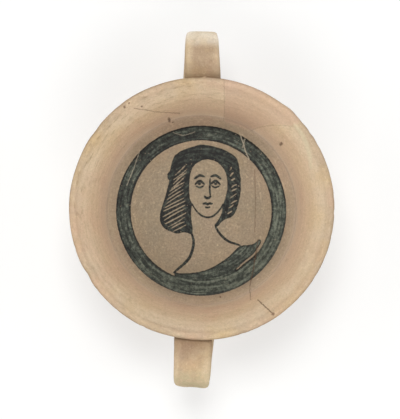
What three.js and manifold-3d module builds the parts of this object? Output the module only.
// A wheel-thrown terracotta drinking cup: a flat floor, a wall that rises steeply and flares
// to a rounded lip, a turned ring foot, and a vertical strap handle on each side.
// It is fired clay in one piece. Millimetres, +Z up, the origin on the wheel's axis at the
// underside of the foot, the handles along Y.

import * as THREE from "three";
import { mergeVertices } from "three/addons/utils/BufferGeometryUtils.js";
import Module from "manifold-3d";

// The bowl.
const RIM_RADIUS = 65;
const CUP_HEIGHT = 58;
const WALL = 4.2;
const FLOOR_RADIUS = 42.5;
const FLOOR_THICKNESS = 5;
const CORNER_RADIUS = 6;
const FLARE_ANGLE = 47;
const STEEP_LENGTH = 17;
const FLARE_LENGTH = 15;

// The ring foot.
const FOOT_HEIGHT = 8;
const FOOT_RADIUS = 34;
const FOOT_WIDTH = 6.5;
const FOOT_TAPER = 2.5;
const FOOT_ROUNDING = 1;

// The strap handles. Each one's bearing is counted from +X in degrees, its lean is how far
// its lower root stands to the side of its upper one, and its bend is how wide the strap is
// where it turns down.
const HANDLE_REACH = 88.4;
const STRAP_THICKNESS = 5.2;
const STRAP_WIDTH_AT_LIP = 19.6;
const FAR_STRAP_BEND_WIDTH = 15.7;
const NEAR_STRAP_BEND_WIDTH = 17.6;
const STRAP_WIDTH_AT_BELLY = 17.5;
const HANDLE_BELOW_LIP = 1.6;
const LOWER_ROOT_HEIGHT = 19;
const FAR_HANDLE_LEAN = 2;
const NEAR_HANDLE_LEAN = 3.2;
const HANDLES = [
  { bearing: 89.3, lean: FAR_HANDLE_LEAN, bend: FAR_STRAP_BEND_WIDTH },
  { bearing: 265.7, lean: NEAR_HANDLE_LEAN, bend: NEAR_STRAP_BEND_WIDTH },
];

// The strap's centre line, which starts and ends inside the wall: each point is a share of
// the way out to the reach, and a share of the way up from the lower root to the top.
const LOOP = [
  [0, 0.82],
  [0.38, 0.9],
  [0.66, 0.99],
  [0.87, 0.95],
  [0.985, 0.79],
  [1, 0.6],
  [0.91, 0.38],
  [0.68, 0.2],
  [0.36, 0.07],
  [0, -0.02],
];
const BEND_SHARE = 0.45;

// How finely curves are cut into flats.
const WHEEL_STEPS = 72;
const WALL_STEPS = 10;
const CORNER_STEPS = 5;
const LIP_STEPS = 6;
const LOOP_STEPS = 30;
const STRAP_SIDES = 16;
const STRAP_SQUARENESS_FACTOR = 3.4;
const SHORTEST_EDGE = 0.02;

const floorTop = FOOT_HEIGHT + FLOOR_THICKNESS;
const radians = THREE.MathUtils.degToRad;
const wasm = await Module();
wasm.setup();

function point(radius, height) {
  return new THREE.Vector2(radius, height);
}

// The middle of the wall's thickness, from the top of the corner to the lip's centre.
function wallMiddle() {
  const foot = point(FLOOR_RADIUS + CORNER_RADIUS + WALL / 2, floorTop + CORNER_RADIUS);
  const lip = point(RIM_RADIUS - WALL / 2, CUP_HEIGHT - WALL / 2);
  const flare = point(Math.cos(radians(FLARE_ANGLE)), Math.sin(radians(FLARE_ANGLE)));
  return new THREE.CubicBezierCurve(
    foot,
    point(foot.x, foot.y + STEEP_LENGTH),
    lip.clone().addScaledVector(flare, -FLARE_LENGTH),
    lip,
  );
}

// A quarter turn from straight down to straight out, about the corner's centre.
function cornerArc(across, down) {
  const arc = [];
  for (let i = 0; i <= CORNER_STEPS; i++) {
    const turn = (i / CORNER_STEPS) * (Math.PI / 2);
    arc.push(
      point(
        FLOOR_RADIUS + across * Math.sin(turn),
        floorTop + CORNER_RADIUS - down * Math.cos(turn),
      ),
    );
  }
  return arc;
}

// The corner and the wall as one line, that far outside the bowl's inner face.
function bowlLine(wallDepth, floorDepth) {
  const middle = wallMiddle();
  const line = cornerArc(CORNER_RADIUS + wallDepth, CORNER_RADIUS + floorDepth);
  for (let i = 1; i <= WALL_STEPS; i++) {
    const along = middle.getTangent(i / WALL_STEPS);
    const outward = point(along.y, -along.x);
    line.push(middle.getPoint(i / WALL_STEPS).addScaledVector(outward, wallDepth - WALL / 2));
  }
  return line;
}

// The rounded lip, from the outer face over the top to the inner face.
function lipLine() {
  const centre = point(RIM_RADIUS - WALL / 2, CUP_HEIGHT - WALL / 2);
  const line = [];
  for (let i = 1; i < LIP_STEPS; i++) {
    const turn = radians(FLARE_ANGLE - 90) + (i / LIP_STEPS) * Math.PI;
    line.push(
      point(centre.x + (WALL / 2) * Math.cos(turn), centre.y + (WALL / 2) * Math.sin(turn)),
    );
  }
  return line;
}

// The ring foot, from the middle of its recess round to where it meets the belly.
function footLine() {
  const inner = FOOT_RADIUS - FOOT_WIDTH;
  return [
    point(0, FOOT_HEIGHT),
    point(inner - FOOT_TAPER, FOOT_HEIGHT),
    point(inner, FOOT_ROUNDING),
    point(inner + FOOT_ROUNDING, 0),
    point(FOOT_RADIUS - FOOT_ROUNDING, 0),
    point(FOOT_RADIUS, FOOT_ROUNDING),
    point(FOOT_RADIUS - FOOT_TAPER / 3, FOOT_HEIGHT / 2),
    point(FOOT_RADIUS - FOOT_TAPER, FOOT_HEIGHT * 0.8),
    point(FOOT_RADIUS - FOOT_TAPER + FOOT_ROUNDING, FOOT_HEIGHT),
  ];
}

function turned(profile) {
  return new THREE.LatheGeometry(profile, WHEEL_STEPS).rotateX(Math.PI / 2);
}

function bowlShape() {
  const inside = bowlLine(0, 0).reverse();
  return turned([
    ...footLine(),
    ...bowlLine(WALL, FLOOR_THICKNESS),
    ...lipLine(),
    ...inside,
    point(0, floorTop),
  ]);
}

// Everything inside the middle of the wall, carried on above the lip: no handle enters it.
function keptClear() {
  const line = bowlLine(WALL / 2, FLOOR_THICKNESS / 2);
  const above = CUP_HEIGHT + STRAP_WIDTH_AT_LIP;
  return turned([
    point(0, floorTop - FLOOR_THICKNESS / 2),
    ...line,
    point(line.at(-1).x, above),
    point(0, above),
  ]);
}

// The strap's centre line in its own frame: X outwards, Y to the side and Z up.
function loopLine(lean) {
  const start = FLOOR_RADIUS + CORNER_RADIUS;
  const reach = HANDLE_REACH - STRAP_THICKNESS / 2;
  const top = CUP_HEIGHT - HANDLE_BELOW_LIP - STRAP_THICKNESS / 2;
  const places = LOOP.map(([out, up], i) => {
    const aside = lean * (i / (LOOP.length - 1));
    return new THREE.Vector3(
      THREE.MathUtils.lerp(start, reach, out),
      aside,
      THREE.MathUtils.lerp(LOWER_ROOT_HEIGHT, top, up),
    );
  });
  return new THREE.CatmullRomCurve3(places, false, "centripetal");
}

function strapWidth(share, bend) {
  return share < BEND_SHARE
    ? THREE.MathUtils.lerp(STRAP_WIDTH_AT_LIP, bend, share / BEND_SHARE)
    : THREE.MathUtils.lerp(
        bend,
        STRAP_WIDTH_AT_BELLY,
        (share - BEND_SHARE) / (1 - BEND_SHARE),
      );
}

// One corner of the strap's section, a rectangle with soft corners, from -1 to 1 each way.
function sectionPoint(side) {
  const turn = (side / STRAP_SIDES) * 2 * Math.PI;
  const soften = (x) => Math.sign(x) * Math.abs(x) ** (2 / STRAP_SQUARENESS_FACTOR);
  return [soften(Math.cos(turn)), soften(Math.sin(turn))];
}

// A strap of clay: its section is carried along the loop and closed at both ends.
function strapShape(lean, bend) {
  const loop = loopLine(lean);
  const sideways = new THREE.Vector3(0, 1, 0);
  const positions = [];
  for (let step = 0; step <= LOOP_STEPS; step++) {
    const share = step / LOOP_STEPS;
    const centre = loop.getPointAt(share);
    const faceOut = new THREE.Vector3().crossVectors(sideways, loop.getTangentAt(share)).normalize();
    for (let side = 0; side < STRAP_SIDES; side++) {
      const [across, through] = sectionPoint(side);
      const corner = centre
        .clone()
        .addScaledVector(sideways, (across * strapWidth(share, bend)) / 2)
        .addScaledVector(faceOut, (through * STRAP_THICKNESS) / 2);
      positions.push(...corner.toArray());
    }
  }
  const faces = [];
  const corner = (step, side) => step * STRAP_SIDES + (side % STRAP_SIDES);
  for (let step = 0; step < LOOP_STEPS; step++) {
    for (let side = 0; side < STRAP_SIDES; side++) {
      const [a, b] = [corner(step, side), corner(step, side + 1)];
      const [c, d] = [corner(step + 1, side + 1), corner(step + 1, side)];
      faces.push(a, c, b, a, d, c);
    }
  }
  for (let side = 1; side < STRAP_SIDES - 1; side++) {
    faces.push(corner(0, 0), corner(0, side), corner(0, side + 1));
    faces.push(corner(LOOP_STEPS, 0), corner(LOOP_STEPS, side + 1), corner(LOOP_STEPS, side));
  }
  const shape = new THREE.BufferGeometry();
  shape.setAttribute("position", new THREE.Float32BufferAttribute(positions, 3));
  shape.setIndex(faces);
  return shape;
}

function asSolid(geometry) {
  geometry.deleteAttribute("normal");
  geometry.deleteAttribute("uv");
  const merged = mergeVertices(geometry);
  return new wasm.Manifold(
    new wasm.Mesh({
      numProp: 3,
      vertProperties: merged.attributes.position.array,
      triVerts: new Uint32Array(merged.index.array),
    }),
  );
}

function asGeometry(solid) {
  const { vertProperties, triVerts } = solid.getMesh();
  const geometry = new THREE.BufferGeometry();
  geometry.setAttribute("position", new THREE.BufferAttribute(vertProperties, 3));
  geometry.setIndex(new THREE.BufferAttribute(triVerts, 1));
  const faceted = geometry.toNonIndexed();
  faceted.computeVertexNormals();
  return faceted;
}

function drinkingCup() {
  const clear = asSolid(keptClear());
  let cup = asSolid(bowlShape());
  for (const { bearing, lean, bend } of HANDLES) {
    const strap = asSolid(strapShape(lean, bend).rotateZ(radians(bearing)));
    cup = cup.add(strap.subtract(clear));
  }
  const terracotta = new THREE.MeshStandardMaterial({
    color: "#c8ac8d",
    roughness: 0.85,
    metalness: 0,
  });
  const mesh = new THREE.Mesh(asGeometry(cup.simplify(SHORTEST_EDGE)), terracotta);
  mesh.name = "drinking_cup";
  return mesh;
}

const part = new THREE.Group();
part.add(drinkingCup());
export default part;
